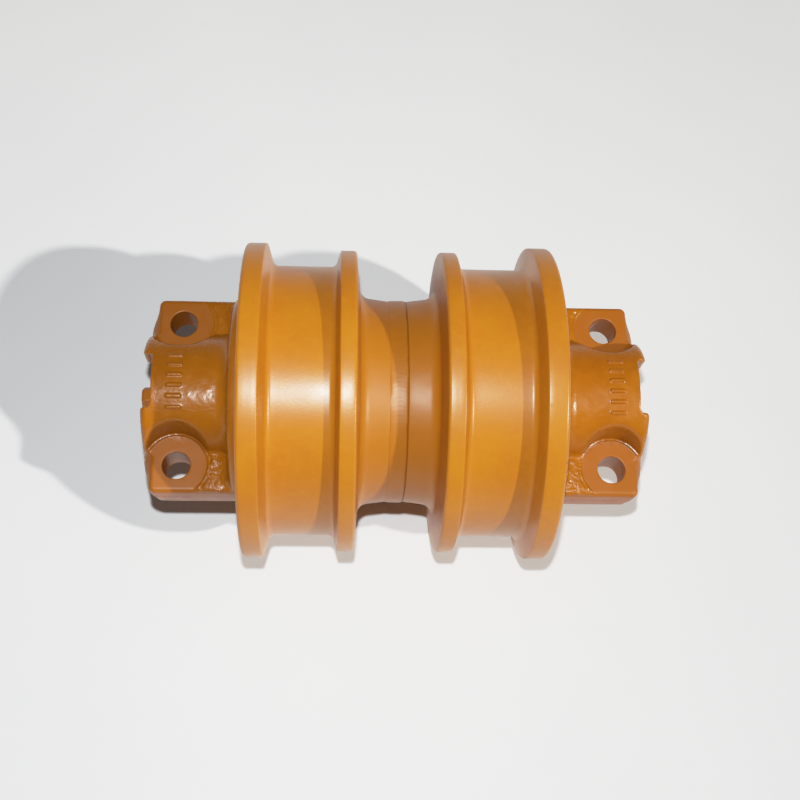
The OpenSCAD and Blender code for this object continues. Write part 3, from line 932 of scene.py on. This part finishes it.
def turned_metal(name, bright, dull, low, high, painted_past=None):
    """Metal with fine turning marks round X; its ends past painted_past are painted over."""
    material, tree, shader = new_material(name)
    place = add(tree, "TexCoord").outputs["Object"]
    rings = add(tree, "Mapping", {"Vector": place, "Scale": (2400.0, 12.0, 12.0)}).outputs["Vector"]
    marks = noise(tree, rings, 1.0, 3, 0.6)
    cloud = noise(tree, place, 60, 4)
    base = blend(tree, stretch(tree, cloud, 0.3, 0.7), bright, dull)
    gloss = stretch(tree, marks, 0.3, 0.7, low, high)
    normal = bump(tree, marks, 0.25, 0.00006)
    tree.links.new(normal, shader.inputs["Normal"])
    if painted_past is None:
        tree.links.new(base, shader.inputs["Base Color"])
        tree.links.new(gloss, shader.inputs["Roughness"])
        shader.inputs["Metallic"].default_value = 1.0
        return material
    x = maths(tree, "ABSOLUTE", add(tree, "SeparateXYZ", {0: place}).outputs["X"])
    paint = maths(tree, "GREATER_THAN", x, painted_past * MM)
    worn = stretch(tree, noise(tree, place, 210, 4, 0.6), 0.62, 0.68)
    paint = maths(tree, "MULTIPLY", paint, maths(tree, "SUBTRACT", 1.0, worn))
    coat = blend(tree, stretch(tree, cloud, 0.35, 0.65), colour(196, 116, 30), colour(180, 100, 26))
    tree.links.new(blend(tree, paint, base, coat), shader.inputs["Base Color"])
    tree.links.new(maths(tree, "SUBTRACT", 1.0, paint), shader.inputs["Metallic"])
    tree.links.new(maths(tree, "MULTIPLY_ADD", paint, 0.08, gloss), shader.inputs["Roughness"])
    return material


def seal_rubber():
    """Nitrile rubber with a faint moulding bloom."""
    material, tree, shader = new_material("nitrile_rubber")
    place = add(tree, "TexCoord").outputs["Object"]
    bloom = noise(tree, place, 140, 4)
    base = blend(tree, stretch(tree, bloom, 0.4, 0.7), colour(28, 28, 29), colour(46, 45, 44))
    tree.links.new(base, shader.inputs["Base Color"])
    tree.links.new(stretch(tree, bloom, 0.3, 0.7, 0.45, 0.62), shader.inputs["Roughness"])
    tree.links.new(bump(tree, noise(tree, place, 1800, 2), 0.15, 0.0001), shader.inputs["Normal"])
    return material


def pale_floor():
    """A pale painted floor with faint blotches."""
    material, tree, shader = new_material("pale_floor")
    place = add(tree, "TexCoord").outputs["Object"]
    blotch = noise(tree, place, 2.2, 4, 0.55)
    grit = noise(tree, place, 60, 3)
    base = blend(tree, stretch(tree, blotch, 0.35, 0.7), colour(243, 243, 246), colour(236, 236, 240))
    base = blend(tree, stretch(tree, grit, 0.62, 0.8, 0, 0.15), base, colour(222, 222, 226))
    tree.links.new(base, shader.inputs["Base Color"])
    shader.inputs["Roughness"].default_value = 0.55
    return material


# ---------------------------------------------------------------- the model


def metal(name, bright, dull, low, high, painted_past=None):
    """A turned metal with the record slot of the same name."""
    return turned_metal(name, colour(*bright), colour(*dull), low, high, painted_past), name


enamel = roller_paint()
cast_enamel = collar_paint()
rubber = (seal_rubber(), "seal_rubber")
finishes = {
    "toric_ring": rubber,
    "o_ring": rubber,
    "shaft": metal("shaft_steel", (186, 186, 188), (160, 160, 164), 0.18, 0.30, SHAFT_END_X - 0.4),
    "bushing": metal("bushing_bronze", (205, 165, 95), (176, 134, 72), 0.22, 0.36),
    "seal_ring": metal("seal_iron", (120, 120, 124), (92, 92, 96), 0.16, 0.34),
    "lock_pin": metal("pin_steel", (168, 168, 172), (140, 140, 146), 0.24, 0.40),
    "washer": metal("washer_copper", (214, 140, 106), (184, 112, 82), 0.2, 0.36),
}


def put(piece, body, node):
    """A finished piece rides on its body and stands for its CAD node."""
    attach(piece, body)
    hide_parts(node)


for word, side in SIDES.items():
    shell = shell_half(f"{word}_shell_half_skin", side, enamel)
    put(shell, "roller", f"{word}_shell_half")
    casting = collar(f"{word}_collar_casting", side, cast_enamel)
    put(casting, "shaft_and_collars", f"{word}_collar")
put(weld_bead("weld_bead", enamel), "roller", "centre_weld")
put(oil_plug("oil_plug_head", cast_enamel), "shaft_and_collars", "oil_plug")

for node, part in frame["nodes"].items():
    if part.hide_render:
        continue
    material, slot = next(v for key, v in finishes.items() if key in node)
    for holder in part.material_slots:
        holder.material = material
    part.data.shade_smooth()

# ---------------------------------------------------------------- floor, light and camera

FLOOR_HALF_W = 6.0
corner_signs = ((-1, -1), (1, -1), (1, 1), (-1, 1))
floor_corners = [(x * FLOOR_HALF_W, y * FLOOR_HALF_W, cad_low[2]) for x, y in corner_signs]
floor_mesh = bpy.data.meshes.new("floor")
floor_mesh.from_pydata(floor_corners, [], [(0, 1, 2, 3)])
floor_mesh.materials.append(pale_floor())
floor = bpy.data.objects.new("floor", floor_mesh)
bpy.context.scene.collection.objects.link(floor)


def aimed(thing, direction):
    """Turns a light or camera so that it looks along direction."""
    thing.rotation_euler = Vector(direction).to_track_quat("-Z", "Y").to_euler()


def light(name, kind, energy, tint, **settings):
    """A lamp in the scene."""
    data = bpy.data.lights.new(name, kind)
    data.energy = energy
    data.color = tint
    for key, value in settings.items():
        setattr(data, key, value)
    lamp = bpy.data.objects.new(name, data)
    bpy.context.scene.collection.objects.link(lamp)
    return lamp


TONE_WHITE = 3.0
TONE_KNEE = 0.43
TONE_LEVELS = (0.1, 0.3, 0.42, 0.52, 0.65, 0.8, 0.95, 1.1, 1.3, 1.6, 2.0)


def film(light_level):
    """Brightness shown for a light level: even up to the knee, then easing in to white."""
    if light_level < TONE_KNEE:
        return light_level
    room = 1 - TONE_KNEE
    return TONE_KNEE + room * (1 - math.exp((TONE_KNEE - light_level) / room))


KEY_FROM = Vector((0.673, -0.306, 0.674))
FLASH_AT = Vector((-0.055, -0.215, 0.93))
HORIZON = 0.12
HORIZON_LIGHT = 0.16
OVERHEAD = 0.45
OVERHEAD_LIGHT = 0.08
CAMERA_AT = (-0.04698, -0.29491, 0.86024)
CAMERA_TURN = (18.994, -3.285, -0.308)
CAMERA_LENS = 53.64
CAMERA_SENSOR_W = 36.0

key = light("key", "SUN", 2.4, (1.0, 0.98, 0.90), angle=math.radians(1.6))
aimed(key, -KEY_FROM)
flash = light("flash", "AREA", 8.5, (0.95, 1.0, 1.0), shape="DISK", size=0.024)
flash.location = FLASH_AT
aimed(flash, -FLASH_AT)

world = bpy.data.worlds.new("studio")
world.use_nodes = True
sky = world.node_tree
height = add(sky, "SeparateXYZ", {0: add(sky, "TexCoord").outputs["Generated"]}).outputs["Z"]
walls = stretch(sky, height, HORIZON, OVERHEAD, HORIZON_LIGHT, OVERHEAD_LIGHT)
sky.links.new(walls, sky.nodes["Background"].inputs["Strength"])
sky.nodes["Background"].inputs["Color"].default_value = (1.0, 0.95, 0.90, 1.0)
bpy.context.scene.world = world

view = bpy.context.scene.view_settings
view.view_transform = "Standard"
view.use_curve_mapping = True
tone = view.curve_mapping
tone.white_level = (TONE_WHITE, TONE_WHITE, TONE_WHITE)
combined = tone.curves[3]
for level in TONE_LEVELS:
    combined.points.new(level / TONE_WHITE, film(level))
combined.points[-1].location[1] = film(TONE_WHITE)
tone.update()

camera_data = bpy.data.cameras.new("camera")
camera_data.lens = CAMERA_LENS
camera_data.sensor_width = CAMERA_SENSOR_W
camera = bpy.data.objects.new("camera", camera_data)
camera.location = CAMERA_AT
camera.rotation_euler = [math.radians(a) for a in CAMERA_TURN]
bpy.context.scene.collection.objects.link(camera)
bpy.context.scene.camera = camera
